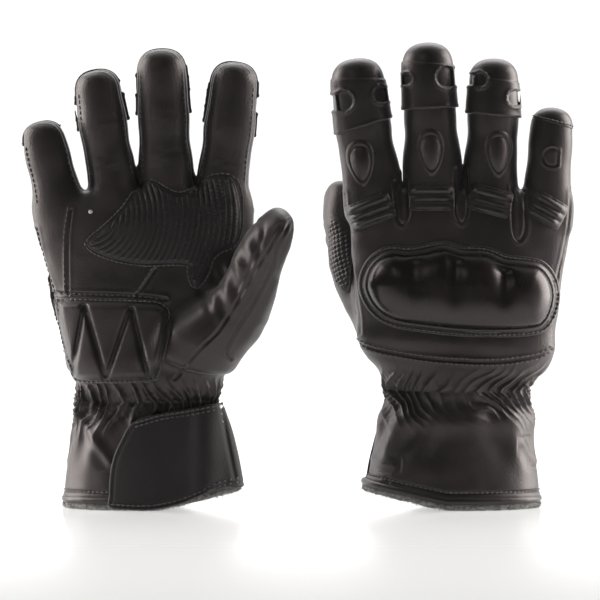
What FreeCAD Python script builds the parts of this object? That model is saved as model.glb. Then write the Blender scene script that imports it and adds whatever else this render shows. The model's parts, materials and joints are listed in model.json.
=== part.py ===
"""A pair of motorcycle riding gloves, standing on their hems, as separate leather, lining and armour pieces.

Frame: millimetres, +Z up, origin on the floor under the middle of the pair. Each glove is modelled in a
frame of its own: fingers up +Z, palm towards -Y, thumb towards +X, z = 0 at the hem. Glove 1 stands with
its palm to -Y. Glove 2 is the same right-hand glove turned half round, so that its back faces -Y.
Every finger has a frame too: its axis is +Z from its root in the palm, and it bends towards its own -Y.
"""

import FreeCAD
import Part

import math
import os

from FreeCAD import Placement, Rotation, Vector

DOC = FreeCAD.newDocument("riding_gloves")
SHEET = DOC.addObject("Spreadsheet::Sheet", "dims")

FINGERS = ("index", "middle", "ring", "little")
GLOVES = ("glove1", "glove2")

# Alias: value in mm, degrees or as a plain ratio.
SIZES = {
    # layers of the wall
    "leather": 1.5, "layer_gap": 0.1, "lining": 1.6, "joint_gap": 0.2, "spare": 0.3, "overrun": 4,
    # the hand, as ovals from the wrist to the web between the fingers: height, middle, half width, half depth
    "wrist_z": 70, "wrist_cx": -3, "wrist_rx": 43, "wrist_ry": 25,
    "heel_z": 82, "heel_cx": -3.5, "heel_rx": 50, "heel_ry": 25,
    "ball_z": 98, "ball_cx": -3, "ball_rx": 55, "ball_ry": 24,
    "palm_z": 125, "palm_cx": -3, "palm_rx": 58, "palm_ry": 22.5,
    "knuckle_z": 150, "knuckle_cx": -4, "knuckle_rx": 61, "knuckle_ry": 20,
    "web_z": 168, "web_cx": -5, "web_rx": 62, "web_ry": 16.5,
    "crest_z": 176, "crest_cx": -5, "crest_rx": 60, "crest_ry": 11.5,
    # the cuff, from the hem to the gathered wrist
    "hem_z": 0, "hem_cx": 0.5, "hem_rx": 50, "hem_ry": 33,
    "skirt_z": 24, "skirt_cx": -0.5, "skirt_rx": 46.5, "skirt_ry": 30,
    "throat_z": 50, "throat_cx": -2, "throat_rx": 41.5, "throat_ry": 25.5,
    "pinch_z": 58, "pinch_cx": -2.5, "pinch_rx": 40, "pinch_ry": 24,
    "hem_height": 6, "hem_rise": 9.5, "hem_flat_to": 4, "hem_roll": 0.8,
    "elastic_height": 6, "elastic_thick": 1.2,
    # fingers
    "index_length": 78, "index_rx": 13.8, "index_ry": 12.6,
    "middle_length": 81, "middle_rx": 14.2, "middle_ry": 12.9,
    "ring_length": 73, "ring_rx": 13.4, "ring_ry": 12.5,
    "little_length": 56, "little_rx": 12.9, "little_ry": 11.8,
    "long_knuckle": 19.5, "long_middle": 41.5, "little_knuckle": 18.5, "little_middle": 36,
    "finger_buried": 16, "bend_inset": 5, "notch": 38,
    "window_radius": 3.6, "window_y": 1.5, "window_back": 2, "armour_gap": 0.6,
    # thumb
    "thumb_x": 29, "thumb_y": -12, "thumb_z": 81,
    "thumb_length": 104, "thumb_knuckle": 66, "thumb_rx": 13.4, "thumb_ry": 14.6,
    "thumb_root_rx": 17, "thumb_root_ry": 24, "thumb_root_shift": -7,
    "wrist_bend": 20.5,
    # armour and trims
    "armour": 1.4, "armour_wrap": -3, "pad": 5, "grip": 1.2,
    "pleat_length": 24, "pleat_height": 4.4, "pleat_pitch": 5.6, "pleat_rise": 2.4, "pleat_start": -19,
    "shell_rise": 9, "shell_wall": 2.6, "shell_flange": 4.5, "flange_thick": 1.4,
    "bump_radius": 8, "bump_rise": 2.5,
    # closure flap
    "loop_thick": 1.0, "hook_thick": 0.9, "flap_thick": 1.8, "flap_clear": 0.3,
    "flap_end_y": -0.3, "flap_top": 62, "flap_taper": 1,
    # poses: where each glove stands, and how its fingers spread
    "glove1_x": -82, "glove1_y": 3.6, "glove1_turn": 0, "glove2_x": 87, "glove2_y": 3.6, "glove2_turn": 180,
    "glove1_index_x": 39.5, "glove1_index_z": 172, "glove1_index_tilt": 6,
    "glove1_middle_x": 9, "glove1_middle_z": 176, "glove1_middle_tilt": -2.5,
    "glove1_ring_x": -20.5, "glove1_ring_z": 173, "glove1_ring_tilt": -8.5,
    "glove1_little_x": -49.5, "glove1_little_z": 162, "glove1_little_tilt": -13.5,
    "glove2_index_x": 42, "glove2_index_z": 174, "glove2_index_tilt": 7,
    "glove2_middle_x": 10.5, "glove2_middle_z": 179, "glove2_middle_tilt": 3,
    "glove2_ring_x": -21, "glove2_ring_z": 178, "glove2_ring_tilt": -0.5,
    "glove2_little_x": -51.5, "glove2_little_z": 168, "glove2_little_tilt": -2,
    "glove1_thumb_dx": 42, "glove1_thumb_dy": -34, "glove1_thumb_dz": 86,
    "glove2_thumb_dx": 34, "glove2_thumb_dy": -28, "glove2_thumb_dz": 100,
}
HAND_RINGS = ("wrist", "heel", "ball", "palm", "knuckle", "web", "crest")
CUFF_RINGS = ("hem", "skirt", "throat")
GATHER_RINGS = ("throat", "pinch", "wrist")
THUMB_RINGS = ((-4, 1), (16, 0.93), (38, 0.42), (54, 0.08))  # station, and how much of the wide root is left
BIG = 400  # longer than any piece, for the blocks that trim them

# Outlines in the glove's XZ plane, each a closed smooth curve through these points.
SHELL_OUTLINE = [(47, 124), (41, 138), (27, 142), (14, 142), (3, 144), (-9, 141), (-23, 140), (-34, 135),
                 (-47, 133), (-55, 122), (-54, 106), (-44, 99.5), (-14, 98), (18, 101), (38, 106), (46, 114)]
GRIP_OUTLINE = [(-36, 147.5), (-20, 156), (-7, 162), (8, 164), (30, 163), (40, 156), (45, 146), (40, 134),
                (26, 127), (21, 130), (24, 140), (2, 135), (-22, 138)]
HEEL_PAD_OUTLINE = [(-58, 117), (8, 115.5), (13, 110), (12, 94), (4, 72.5), (-58, 72.5)]
FLAP_OUTLINE = [(-6, 52), (-16, 40), (-20.5, 27), (-21.5, 5), (4, 6), (30, 12), (62, 22), (62, 57.5), (14, 57.5)]
PLEAT_LEAN = {"index": -16, "middle": 0, "ring": 10, "little": 26}  # degrees, each finger's ridges
KNUCKLE_BUMPS = [(33, 124, 12, 15), (7, 125, 13, 17), (-21, 123, 12.5, 16), (-43, 119, 9.5, 13)]
LOOP_PATCH = (-13, 16, 14, 46)  # x from, x to, z from, z to
HOOK_PATCH = (-14, 14, 15, 44)


def fill_sheet():
    for row, (alias, value) in enumerate(SIZES.items(), start=1):
        SHEET.set(f"A{row}", alias)
        SHEET.set(f"B{row}", str(value))
        SHEET.setAlias(f"B{row}", alias)
    DOC.recompute()


def size(alias):
    return float(SHEET.get(alias))


def bind(obj, **expressions):
    for path, expression in expressions.items():
        obj.setExpression(path.replace("__", "."), expression)
    return obj


def oval(height, middle, rx, ry, shift="0", deep=False):
    """One elliptical ring, square to Z, sized by expressions. A deep one is longer along Y than along X."""
    ring = DOC.addObject("Part::Ellipse", "oval")
    ring.Placement = Placement(Vector(0, 0, 0), Rotation(Vector(0, 0, 1), 90 if deep else 0))
    major, minor = (ry, rx) if deep else (rx, ry)
    bind(ring, MajorRadius=major, MinorRadius=minor)
    return bind(ring, Placement__Base__x=middle, Placement__Base__y=shift, Placement__Base__z=height)


def loft(rings):
    body = DOC.addObject("Part::Loft", "loft")
    body.Sections = rings
    body.Solid = True
    return body


def cut(base, tool):
    made = DOC.addObject("Part::Cut", "cut")
    made.Base, made.Tool = base, tool
    return made


def common(base, tool):
    made = DOC.addObject("Part::Common", "common")
    made.Base, made.Tool = base, tool
    return made


def fuse(*shapes):
    made = DOC.addObject("Part::MultiFuse", "fuse")
    made.Shapes = list(shapes)
    return made


def block(corner, sizes, placement=None):
    """A trimming block: its lowest corner and its sizes in the given placement's frame."""
    made = DOC.addObject("Part::Box", "block")
    made.Length, made.Width, made.Height = sizes
    made.Placement = (placement or Placement()).multiply(Placement(Vector(*corner), Rotation()))
    return made


def smooth_wire(points):
    curve = Part.BSplineCurve()
    curve.interpolate([Vector(x, 0, z) for x, z in points], PeriodicFlag=True)
    return Part.Wire(curve.toShape())


def prism(wire_or_points, towards, name="prism"):
    """An outline in XZ pushed to the palm side (towards -1) or the back (towards +1)."""
    wire = wire_or_points
    if isinstance(wire, list):
        corners = [Vector(x, 0, z) for x, z in wire]
        wire = Part.makePolygon(corners + corners[:1])
    made = DOC.addObject("Part::Feature", name)
    made.Shape = Part.Face(wire).extrude(Vector(0, towards * BIG, 0))
    return made


def grown_wire(points, distance):
    """The smooth outline, moved outwards (or inwards) by a distance, as a smooth wire through moved points."""
    middle_x = sum(x for x, z in points) / len(points)
    middle_z = sum(z for x, z in points) / len(points)
    moved = []
    for before, here, after in zip(points[-1:] + points[:-1], points, points[1:] + points[:1]):
        along = Vector(after[0] - before[0], 0, after[1] - before[1])
        normal = Vector(along.z, 0, -along.x)
        normal.normalize()
        if normal.dot(Vector(here[0] - middle_x, 0, here[1] - middle_z)) < 0:
            normal = normal * -1
        moved.append((here[0] + normal.x * distance, here[1] + normal.z * distance))
    return smooth_wire(moved)


# ---- hand, cuff and wrist ovals, at any distance from the outer leather surface

def ring_at(name, grow):
    return oval(f"dims.{name}_z", f"dims.{name}_cx", f"dims.{name}_rx + {grow}", f"dims.{name}_ry + {grow}")


def hand_block(grow="0"):
    return loft([ring_at(name, grow) for name in HAND_RINGS])


def cuff_block(grow="0"):
    return loft([ring_at(name, grow) for name in CUFF_RINGS])


def gather_block(grow="0"):
    return loft([ring_at(name, grow) for name in GATHER_RINGS])


LEATHER_IN = "-dims.leather"
LINING_OUT = "-dims.leather - dims.layer_gap"
LINING_IN = "-dims.leather - dims.layer_gap - dims.lining"


# ---- fingers: stations along a finger's own axis

def finger_frame(glove, finger):
    tilt = Rotation(Vector(0, 1, 0), size(f"{glove}_{finger}_tilt"))
    return Placement(Vector(size(f"{glove}_{finger}_x"), 0, size(f"{glove}_{finger}_z")), tilt)


def thumb_frame(glove):
    """Along the thumb is +Z, and it bends towards -Y, which points across the palm."""
    along = Vector(*(size(f"{glove}_thumb_{d}") for d in ("dx", "dy", "dz")))
    along.normalize()
    bend = Vector(-1, -0.35, 0)
    bend = bend - along * bend.dot(along)
    bend.normalize()
    across = along.cross(bend)
    turn = Rotation(across, bend * -1, along, "ZXY")
    return Placement(Vector(size("thumb_x"), size("thumb_y"), size("thumb_z")), turn)


def glove_frame(glove):
    turn = Rotation(Vector(0, 0, 1), size(f"{glove}_turn"))
    return Placement(Vector(size(f"{glove}_x"), size(f"{glove}_y"), 0), turn)


def knuckles(finger):
    """Aliases of the two places along a finger where it bends."""
    kind = "little" if finger == "little" else "long"
    return f"{kind}_knuckle", f"{kind}_middle"


def finger_block(finger, start, end, grow="0"):
    """A straight stretch of a finger, between two stations."""
    rx, ry = f"dims.{finger}_rx + {grow}", f"dims.{finger}_ry + {grow}"
    deep = finger == "thumb"
    return loft([oval(start, "0", rx, ry, deep=deep), oval(end, "0", rx, ry, deep=deep)])


def tip_block(finger, start, grow="0"):
    """A fingertip: straight from its start, then a dome."""
    centre = f"dims.{finger}_length - dims.{finger}_rx"
    dome = DOC.addObject("Part::Ellipsoid", "dome")
    dome.Angle1 = 0  # the upper half only
    rx, ry = f"dims.{finger}_rx + {grow}", f"dims.{finger}_ry + {grow}"
    bind(dome, Radius1=rx, Radius2=rx, Radius3=ry, Placement__Base__z=centre)
    return fuse(finger_block(finger, start, centre, grow), dome)


def notch_block(station, upper):
    """Trims the palm side of a finger's end so that it can bend: a block turned about the hinge."""
    bend = Vector(0, -size("bend_inset"), size(station))
    turned = Placement(bend, Rotation(Vector(1, 0, 0), -size("notch") if upper else size("notch")))
    return block((-BIG / 2, -BIG, -BIG if upper else 0), (BIG, BIG, BIG), turned)


def thumb_root_block(grow="0", past="0"):
    """The wide root of the thumb, from inside the palm to its knuckle and, for a bore, past it."""
    rings = []
    for station, share in THUMB_RINGS:
        rx = f"dims.thumb_rx + (dims.thumb_root_rx - dims.thumb_rx) * {share} + {grow}"
        ry = f"dims.thumb_ry + (dims.thumb_root_ry - dims.thumb_ry) * {share} + {grow}"
        rings.append(oval(str(station), "0", rx, ry, f"dims.thumb_root_shift * {share}", deep=True))
    end = f"dims.thumb_knuckle - dims.joint_gap + {past}"
    rings.append(oval(end, "0", f"dims.thumb_rx + {grow}", f"dims.thumb_ry + {grow}", deep=True))
    return loft(rings)


def placed(obj, placement):
    obj.Placement = placement
    return obj


def node(glove, name, obj, placement=None):
    """Names a finished sub-part and puts it in its glove's place."""
    obj.Placement = glove_frame(glove).multiply(placement or Placement())
    obj.Label = f"{glove}_{name}"
    NODES.append(obj)
    return obj


# ---- sub-parts

def hand_solid(glove, grow):
    """The whole hand with finger stubs, as one solid, at a distance from the outer surface."""
    parts = [hand_block(grow)]
    for finger in FINGERS:
        knuckle, _ = knuckles(finger)
        stub = finger_block(finger, "-dims.finger_buried", f"dims.{knuckle} - dims.joint_gap", grow)
        trimmed = cut(stub, notch_block(knuckle, upper=False))
        parts.append(placed(trimmed, finger_frame(glove, finger)))
    return fuse(*parts)


def stub_bore(glove, finger, grow):
    knuckle, _ = knuckles(finger)
    bore = finger_block(finger, "-dims.finger_buried", f"dims.{knuckle} + dims.overrun", grow)
    return placed(bore, finger_frame(glove, finger))


def hand_bore(glove, grow):
    """The space inside the hand: open at the wrist and into every finger."""
    parts = [hand_block(grow)]
    parts += [stub_bore(glove, finger, grow) for finger in FINGERS]
    wrist = loft([oval("dims.wrist_z - 5", "dims.wrist_cx", f"dims.wrist_rx + {grow}", f"dims.wrist_ry + {grow}"),
                  oval("dims.wrist_z + 1", "dims.wrist_cx", f"dims.wrist_rx + {grow}", f"dims.wrist_ry + {grow}")])
    return fuse(*parts, wrist)


def thumb_clearance(glove, grow):
    return placed(thumb_root_block(grow), thumb_frame(glove))


def make_hand(glove):
    shell = cut(hand_solid(glove, "0"), hand_bore(glove, LEATHER_IN))
    shell = cut(shell, thumb_clearance(glove, "dims.layer_gap"))
    palm_side = block((-BIG / 2, -BIG, 0), (BIG, BIG, BIG))
    back_side = block((-BIG / 2, size("layer_gap"), 0), (BIG, BIG, BIG))
    node(glove, "palm_leather", common(shell, palm_side))
    node(glove, "back_leather", common(shell, back_side))
    lining = cut(hand_block(LINING_OUT), hand_bore(glove, LINING_IN))
    node(glove, "hand_lining", cut(lining, thumb_clearance(glove, "0")))


def make_thumb(glove):
    frame = thumb_frame(glove)
    wall = cut(thumb_root_block(), thumb_root_block(LEATHER_IN, past="dims.overrun"))
    wall = placed(cut(wall, notch_block("thumb_knuckle", upper=False)), frame)
    above_wrist = block((-BIG / 2, -BIG / 2, size("wrist_z") + size("spare")), (BIG, BIG, BIG))
    node(glove, "thumb_base", common(cut(wall, hand_block(LEATHER_IN)), above_wrist))
    start = "dims.thumb_knuckle + dims.joint_gap"
    tip = cut(tip_block("thumb", start), tip_block("thumb", f"{start} - dims.overrun", LEATHER_IN))
    node(glove, "thumb_tip", cut(tip, notch_block("thumb_knuckle", upper=True)), frame)


def make_finger(glove, finger):
    knuckle, middle = knuckles(finger)
    frame = finger_frame(glove, finger)
    low, high = f"dims.{knuckle} + dims.joint_gap", f"dims.{middle} - dims.joint_gap"
    bore = finger_block(finger, f"{low} - dims.overrun", f"{high} + dims.overrun", LEATHER_IN)
    base = cut(cut(finger_block(finger, low, high), bore), notch_block(knuckle, upper=True))
    node(glove, f"{finger}_base", cut(base, notch_block(middle, upper=False)), frame)
    start = f"dims.{middle} + dims.joint_gap"
    tip = cut(tip_block(finger, start), tip_block(finger, f"{start} - dims.overrun", LEATHER_IN))
    node(glove, f"{finger}_tip", cut(tip, notch_block(middle, upper=True)), frame)
    make_armour(glove, finger, frame, start)


def make_armour(glove, finger, frame, start):
    """The stitched-on finger guard: it wraps the back and the sides, with a round window through both sides."""
    outer = tip_block(finger, f"{start} + dims.armour_gap", "dims.armour")
    layer = cut(outer, tip_block(finger, f"{start} - dims.overrun", "dims.layer_gap"))
    back = block((-BIG / 2, size("armour_wrap"), 0), (BIG, BIG, BIG))
    window = DOC.addObject("Part::Cylinder", "window")
    bind(window, Radius="dims.window_radius")
    window.Height = BIG
    height = (size(f"{finger}_length") + size(knuckles(finger)[1])) / 2 - size("window_back")
    window.Placement = Placement(Vector(-BIG / 2, size("window_y"), height), Rotation(Vector(0, 1, 0), 90))
    node(glove, f"{finger}_armour", cut(common(layer, back), window), frame)


def make_pleats(glove):
    """Three raised ridges across the back, below the root of each finger."""
    strips = []
    for finger in FINGERS:
        length, height = size("pleat_length"), size("pleat_height")
        for step in range(3):
            corner = (-length / 2, 0, size("pleat_start") + step * size("pleat_pitch"))
            frame = finger_frame(glove, finger)
            lean = Placement(Vector(0, 0, 0), Rotation(Vector(0, 1, 0), PLEAT_LEAN[finger]))
            strips.append(block(corner, (length, BIG, height), frame.multiply(lean)))
    band = cut(hand_block("dims.pleat_rise"), hand_solid(glove, "dims.layer_gap"))
    node(glove, "stretch_pleats", common(band, fuse(*strips)))


def make_knuckle_guard(glove):
    rise, wall = "dims.shell_rise", "dims.shell_wall"
    inner_wire = grown_wire(SHELL_OUTLINE, -size("shell_wall"))
    dome = common(hand_block(rise), prism(smooth_wire(SHELL_OUTLINE), 1))
    bumps = [knuckle_bump(*numbers) for numbers in KNUCKLE_BUMPS]
    flange = common(hand_block("dims.flange_thick"), prism(grown_wire(SHELL_OUTLINE, size("shell_flange")), 1))
    whole = fuse(dome, flange, *bumps)
    whole = cut(whole, common(hand_block(f"{rise} - {wall}"), prism(inner_wire, 1)))
    node(glove, "knuckle_shell", cut(whole, hand_block("dims.layer_gap")))
    foam_wire = grown_wire(SHELL_OUTLINE, -size("shell_wall") - size("spare"))
    foam = common(hand_block(f"{rise} - {wall} - dims.spare"), prism(foam_wire, 1))
    node(glove, "knuckle_foam", cut(foam, hand_block("dims.layer_gap")))


def knuckle_bump(x, z, half_width, half_height):
    """A rounded knuckle on the shell, standing proud of its smooth top."""
    bump = DOC.addObject("Part::Ellipsoid", "bump")
    bind(bump, Radius3="dims.bump_radius")
    bump.Radius1, bump.Radius2 = half_height, half_width
    share = math.sqrt(1 - ((x - size("ball_cx")) / (size("palm_rx") + size("shell_rise"))) ** 2)
    top = (size("palm_ry") + size("shell_rise")) * share
    bump.Placement = Placement(Vector(x, top - size("bump_radius") + size("bump_rise"), z), Rotation())
    return bump


def make_palm_patches(glove):
    grip = cut(hand_block("dims.grip"), hand_block("dims.layer_gap"))
    grip = common(grip, prism(smooth_wire(GRIP_OUTLINE), -1))
    node(glove, "grip_patch", cut(grip, thumb_clearance(glove, "dims.spare")))
    pad = cut(hand_block("dims.pad"), hand_block("dims.layer_gap"))
    pad = common(pad, prism(HEEL_PAD_OUTLINE, -1))
    node(glove, "palm_heel_pad", cut(pad, thumb_clearance(glove, "dims.spare")))


def hem_profile(above):
    """The hem in XZ: flat under the little finger, rising towards the thumb. above is the height over it."""
    flat_to, rise, reach = size("hem_flat_to"), size("hem_rise"), size("hem_rx")
    slope = rise / (reach - flat_to)
    return [(-BIG, above), (flat_to, above), (BIG, above + slope * (BIG - flat_to))]


def above_hem(above):
    corners = hem_profile(above) + [(BIG, BIG), (-BIG, BIG)]
    made = DOC.addObject("Part::Feature", "above_hem")
    wire = Part.makePolygon([Vector(x, -BIG, z) for x, z in corners + corners[:1]])
    made.Shape = Part.Face(wire).extrude(Vector(0, 2 * BIG, 0))
    return made


def make_cuff(glove):
    wall = cut(cuff_block(), loft_through(CUFF_RINGS, LEATHER_IN))
    node(glove, "cuff_leather", common(wall, above_hem(size("hem_height"))))
    lining = cut(cuff_block(LINING_OUT), loft_through(CUFF_RINGS, LINING_IN))
    node(glove, "cuff_lining", common(lining, above_hem(size("hem_height"))))
    roll = cut(cuff_block("dims.hem_roll"), loft_through(CUFF_RINGS, f"{LINING_IN} - dims.hem_roll"))
    roll = cut(common(roll, above_hem(0)), above_hem(size("hem_height")))
    node(glove, "hem_binding", roll)
    gather = cut(gather_block(), loft_through(GATHER_RINGS, LEATHER_IN))
    node(glove, "wrist_gather", common(gather, wrist_roof()))
    band = cut(gather_block(LINING_OUT), loft_through(GATHER_RINGS, f"{LINING_OUT} - dims.elastic_thick"))
    low = size("throat_z") + size("spare")
    node(glove, "wrist_elastic", common(band, block((-BIG / 2, -BIG / 2, low), (BIG, BIG, size("elastic_height")))))


def wrist_roof():
    """A block with a roof ridge along X, under which the hand can bend to the palm and to the back."""
    reach, floor = size("throat_rx"), size("throat_z") + size("layer_gap")
    ridge = size("wrist_z") - 2 * size("joint_gap")
    eaves = ridge - reach * math.tan(math.radians(size("wrist_bend")))
    corners = [(-reach, floor), (reach, floor), (reach, eaves), (0, ridge), (-reach, eaves)]
    made = DOC.addObject("Part::Feature", "roof")
    wire = Part.makePolygon([Vector(-BIG / 2, y, z) for y, z in corners + corners[:1]])
    made.Shape = Part.Face(wire).extrude(Vector(BIG, 0, 0))
    return made


def loft_through(names, grow):
    """A loft like the outer one, carried on straight past both ends so that it opens them."""
    first, last = names[0], names[-1]
    rings = [ring_at(name, grow) for name in names]
    inner = loft(rings)
    ends = []
    for name in (first, last):
        rx, ry = f"dims.{name}_rx + {grow}", f"dims.{name}_ry + {grow}"
        ends.append(loft([oval(f"dims.{name}_z - 1", f"dims.{name}_cx", rx, ry),
                          oval(f"dims.{name}_z + 1", f"dims.{name}_cx", rx, ry)]))
    return fuse(inner, *ends)


def patch(corners, outer, inner):
    """The stretch of the layer between two solids that lies inside a rectangle on the palm side."""
    x_from, x_to, z_from, z_to = corners
    return common(cut(outer, inner), block((x_from, -BIG, z_from), (x_to - x_from, BIG, z_to - z_from)))


def make_closure(glove):
    loop_out = "dims.layer_gap + dims.loop_thick"
    node(glove, "loop_patch", patch(LOOP_PATCH, flap_layer(loop_out), cuff_block("dims.layer_gap")))
    hook_in = f"{loop_out} + dims.flap_clear"
    hook_out = f"{hook_in} + dims.hook_thick"
    node(glove, "hook_patch", patch(HOOK_PATCH, flap_layer(hook_out), flap_layer(hook_in)))
    flap_in = f"{hook_out} + dims.layer_gap"
    layer = cut(flap_layer(f"{flap_in} + dims.flap_thick"), flap_layer(flap_in))
    layer = cut(layer, block((0, size("flap_end_y"), 0), (BIG, BIG, BIG)))
    node(glove, "closure_flap", common(layer, prism(FLAP_OUTLINE, -1)))


def flap_layer(grow):
    """The cuff's surface, carried on upwards over the gathers, for the flap to follow."""
    rx, ry = f"dims.throat_rx + {grow} - dims.flap_taper", f"dims.throat_ry + {grow} - dims.flap_taper"
    top = oval("dims.flap_top", "dims.throat_cx", rx, ry)
    return loft([ring_at(name, grow) for name in CUFF_RINGS] + [top])


def check_and_write():
    DOC.recompute()
    for obj in DOC.Objects:
        if {"Invalid", "Error"} & set(obj.State):
            raise RuntimeError(f"{obj.Label} failed: {obj.State}")
    os.makedirs("parts", exist_ok=True)
    for obj in NODES:
        shape = obj.Shape
        if shape.isNull() or not shape.isValid() or not shape.Solids:
            raise RuntimeError(f"{obj.Label} has no valid solid")
        shape.exportStep(os.path.join("parts", obj.Label + ".step"))
        print(f"{obj.Label:28s} solids {len(shape.Solids)} volume {shape.Volume / 1000:8.2f} cm3")
    boxes = [obj.Shape.optimalBoundingBox(False) for obj in NODES]
    for axis in ("X", "Y", "Z"):
        low = min(getattr(box, axis + "Min") for box in boxes)
        high = max(getattr(box, axis + "Max") for box in boxes)
        print(f"overall {axis}: {low:.2f} to {high:.2f}")


NODES = []
fill_sheet()
for glove_name in GLOVES:
    make_hand(glove_name)
    make_thumb(glove_name)
    for finger_name in FINGERS:
        make_finger(glove_name, finger_name)
    make_pleats(glove_name)
    make_knuckle_guard(glove_name)
    make_palm_patches(glove_name)
    make_cuff(glove_name)
    make_closure(glove_name)
check_and_write()
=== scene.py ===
"""The looks of a pair of riding gloves, built around the CAD frame: leather skins, guards and stitching.

Each glove is worked out in a frame of its own, in millimetres: fingers along +Z, palm towards -Y, thumb
towards +X, hem on z = 0. Glove 2 is the same glove turned half round. Shapes are distance fields, negative
inside, that openvdb turns into meshes; seams, folds and gathers are then pushed into the skin.
"""

import json
import math

import bpy
import numpy as np
import openvdb as vdb
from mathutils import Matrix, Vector

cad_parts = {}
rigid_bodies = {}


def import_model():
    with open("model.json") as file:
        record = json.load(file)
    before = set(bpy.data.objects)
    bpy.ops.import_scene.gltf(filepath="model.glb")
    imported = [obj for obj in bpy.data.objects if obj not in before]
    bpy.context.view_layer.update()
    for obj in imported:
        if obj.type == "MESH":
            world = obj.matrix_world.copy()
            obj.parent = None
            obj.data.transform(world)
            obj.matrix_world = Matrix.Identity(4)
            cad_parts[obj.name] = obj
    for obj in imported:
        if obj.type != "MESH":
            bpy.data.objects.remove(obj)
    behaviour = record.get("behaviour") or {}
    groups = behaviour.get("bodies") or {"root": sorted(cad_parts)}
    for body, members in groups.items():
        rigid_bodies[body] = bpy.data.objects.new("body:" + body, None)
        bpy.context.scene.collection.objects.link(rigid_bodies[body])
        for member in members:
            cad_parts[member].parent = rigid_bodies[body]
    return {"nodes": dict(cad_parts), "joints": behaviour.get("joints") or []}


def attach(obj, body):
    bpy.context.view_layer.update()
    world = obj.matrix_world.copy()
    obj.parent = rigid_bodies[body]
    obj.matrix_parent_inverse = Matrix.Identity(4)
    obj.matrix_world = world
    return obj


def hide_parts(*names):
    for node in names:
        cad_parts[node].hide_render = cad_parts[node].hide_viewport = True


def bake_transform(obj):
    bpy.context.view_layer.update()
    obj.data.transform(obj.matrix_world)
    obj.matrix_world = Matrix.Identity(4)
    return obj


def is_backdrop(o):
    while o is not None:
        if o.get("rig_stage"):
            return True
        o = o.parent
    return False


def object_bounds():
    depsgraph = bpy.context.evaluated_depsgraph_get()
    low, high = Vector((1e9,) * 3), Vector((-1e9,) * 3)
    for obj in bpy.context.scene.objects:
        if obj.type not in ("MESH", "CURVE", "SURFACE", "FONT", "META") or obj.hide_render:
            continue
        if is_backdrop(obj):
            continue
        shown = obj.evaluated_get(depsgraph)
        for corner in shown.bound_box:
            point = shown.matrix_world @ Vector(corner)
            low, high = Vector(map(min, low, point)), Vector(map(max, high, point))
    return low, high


GLOVES = ("glove1", "glove2")
FINGERS = ("index", "middle", "ring", "little")
WRIST_X = -3  # the wrist hinge from the glove's middle
SKIN_CELL = 1.3
PART_CELL = 0.6
WEB, THUMB_WEB = 5.0, 8.0  # how softly the fingers and the thumb run into the hand
HEM_FLAT_TO, HEM_SLOPE, HEM_HEIGHT = 4, 9.5 / 46, 6
THUMB_ALONG = {"glove1": (42, -34, 86), "glove2": (34, -28, 100)}
THUMB_STATIONS = (-70, -50, -28, -12, 0, 13, 21, 30, 38)  # along the thumb from its knuckle
THUMB_SHARES = (1, 0.93, 0.42, 0.08, 0, 0, 0, 0, 0)  # how much of the wide root is left there
# How far its middle bows outwards there, and how much of its depth is left.
THUMB_BOW = {"glove1": (0, 3, 8, 6.5, 3.6, 3, 3.5, 4.6, 5), "glove2": (-5, -2, 5, 7.5, 6.5, 3.5, 3, 3, 3)}
THUMB_TAPER = (1, 1, 1, 1, 1, 0.92, 0.82, 0.6, 0.5)
THUMB_LONGER = {"glove1": -2, "glove2": 7}
# The height where the hand narrows to the wrist, on the little finger's side and on the thumb's.
NECK = {"glove1": (75.5, 88), "glove2": (74, 84)}
SLIM = {"glove1": 9.0, "glove2": 0.0}  # how far the little finger's side draws in above the wrist
CUFF_PUFF = {"glove1": -0.4, "glove2": 2.2}  # how far the cuff swells out below the gathers
FLARE = {"glove1": 0.115, "glove2": 0.17}  # how much wider a finger is where it meets the next one
# A finger's place across, and its width, against the CAD tube; and the side it flares on, 0 for both.
FIT = {"glove1": {"index": (0, 1, 1), "middle": (0, 1, 0), "ring": (0, 1, -1), "little": (0, 1, -1)},
       "glove2": {"index": (3.2, 1.1, 1), "middle": (0, 1.02, 0), "ring": (-1.2, 1.05, -1),
                  "little": (-2.2, 0.96, -1)}}
WRIST_BLEND = (54, 79)
BLUNT, DOME_SHARE = 2.5, 0.95  # the power of a fingertip's dome, and its length as a share of the half width

# Lines sewn or creased into the leather, as x, z. Palm lines are seen from -Y, back lines from +Y.
PALM_SEAMS = [[(-44, 167), (-46, 150), (-46, 121)], [(-64, 156), (-60, 138), (-54, 121)],
              [(-56, 120.5), (-11, 119.5), (9, 117.5)], [(3, 134), (-7, 119)],
              [(14, 73), (27, 89), (38, 100), (49, 117), (57, 131), (64.5, 143), (73, 157)],
              [(78, 161), (71, 147), (68, 136), (63, 126), (57, 114.6), (50, 103), (44.5, 93.5), (42.5, 88),
               (45, 84.5)]]
PALM_FOLDS = [[(-50, 116), (-52, 104), (-50, 90)], [(-40, 52), (-30, 38), (-22, 27)]]
BACK_SEAMS = [[(54, 93), (42, 89), (20, 85), (-3, 83), (-25, 82.5), (-45, 85), (-54, 89)],
              [(33, 183), (32, 165), (28.5, 159), (25, 165), (25.5, 183)],
              [(-1, 190), (-1, 167), (-4.5, 160), (-8, 167), (-7.5, 190)],
              [(-33, 180), (-33, 157), (-36.5, 150), (-40, 157), (-39.5, 177)],
              [(60, 176), (58, 149), (54, 118), (51, 98)], [(-66, 178), (-64, 154), (-58, 126), (-53, 104)]]
BACK_FOLDS = [[(51, 30), (42, 27), (34, 25)], [(50, 18), (40, 16)], [(-40, 36), (-46, 26)]]
SHELL_OUTLINE = [(48.5, 125), (45, 136), (36, 142.5), (26, 142), (16, 143.3), (5.5, 145.3), (-4, 142.6),
                 (-17, 142.2), (-28, 137.8), (-39, 136.6), (-48, 134.5), (-54, 127), (-55.5, 117),
                 (-51, 105.5), (-42, 101.5), (-12, 100.8), (20, 103.8), (35, 107), (44, 114)]
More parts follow.
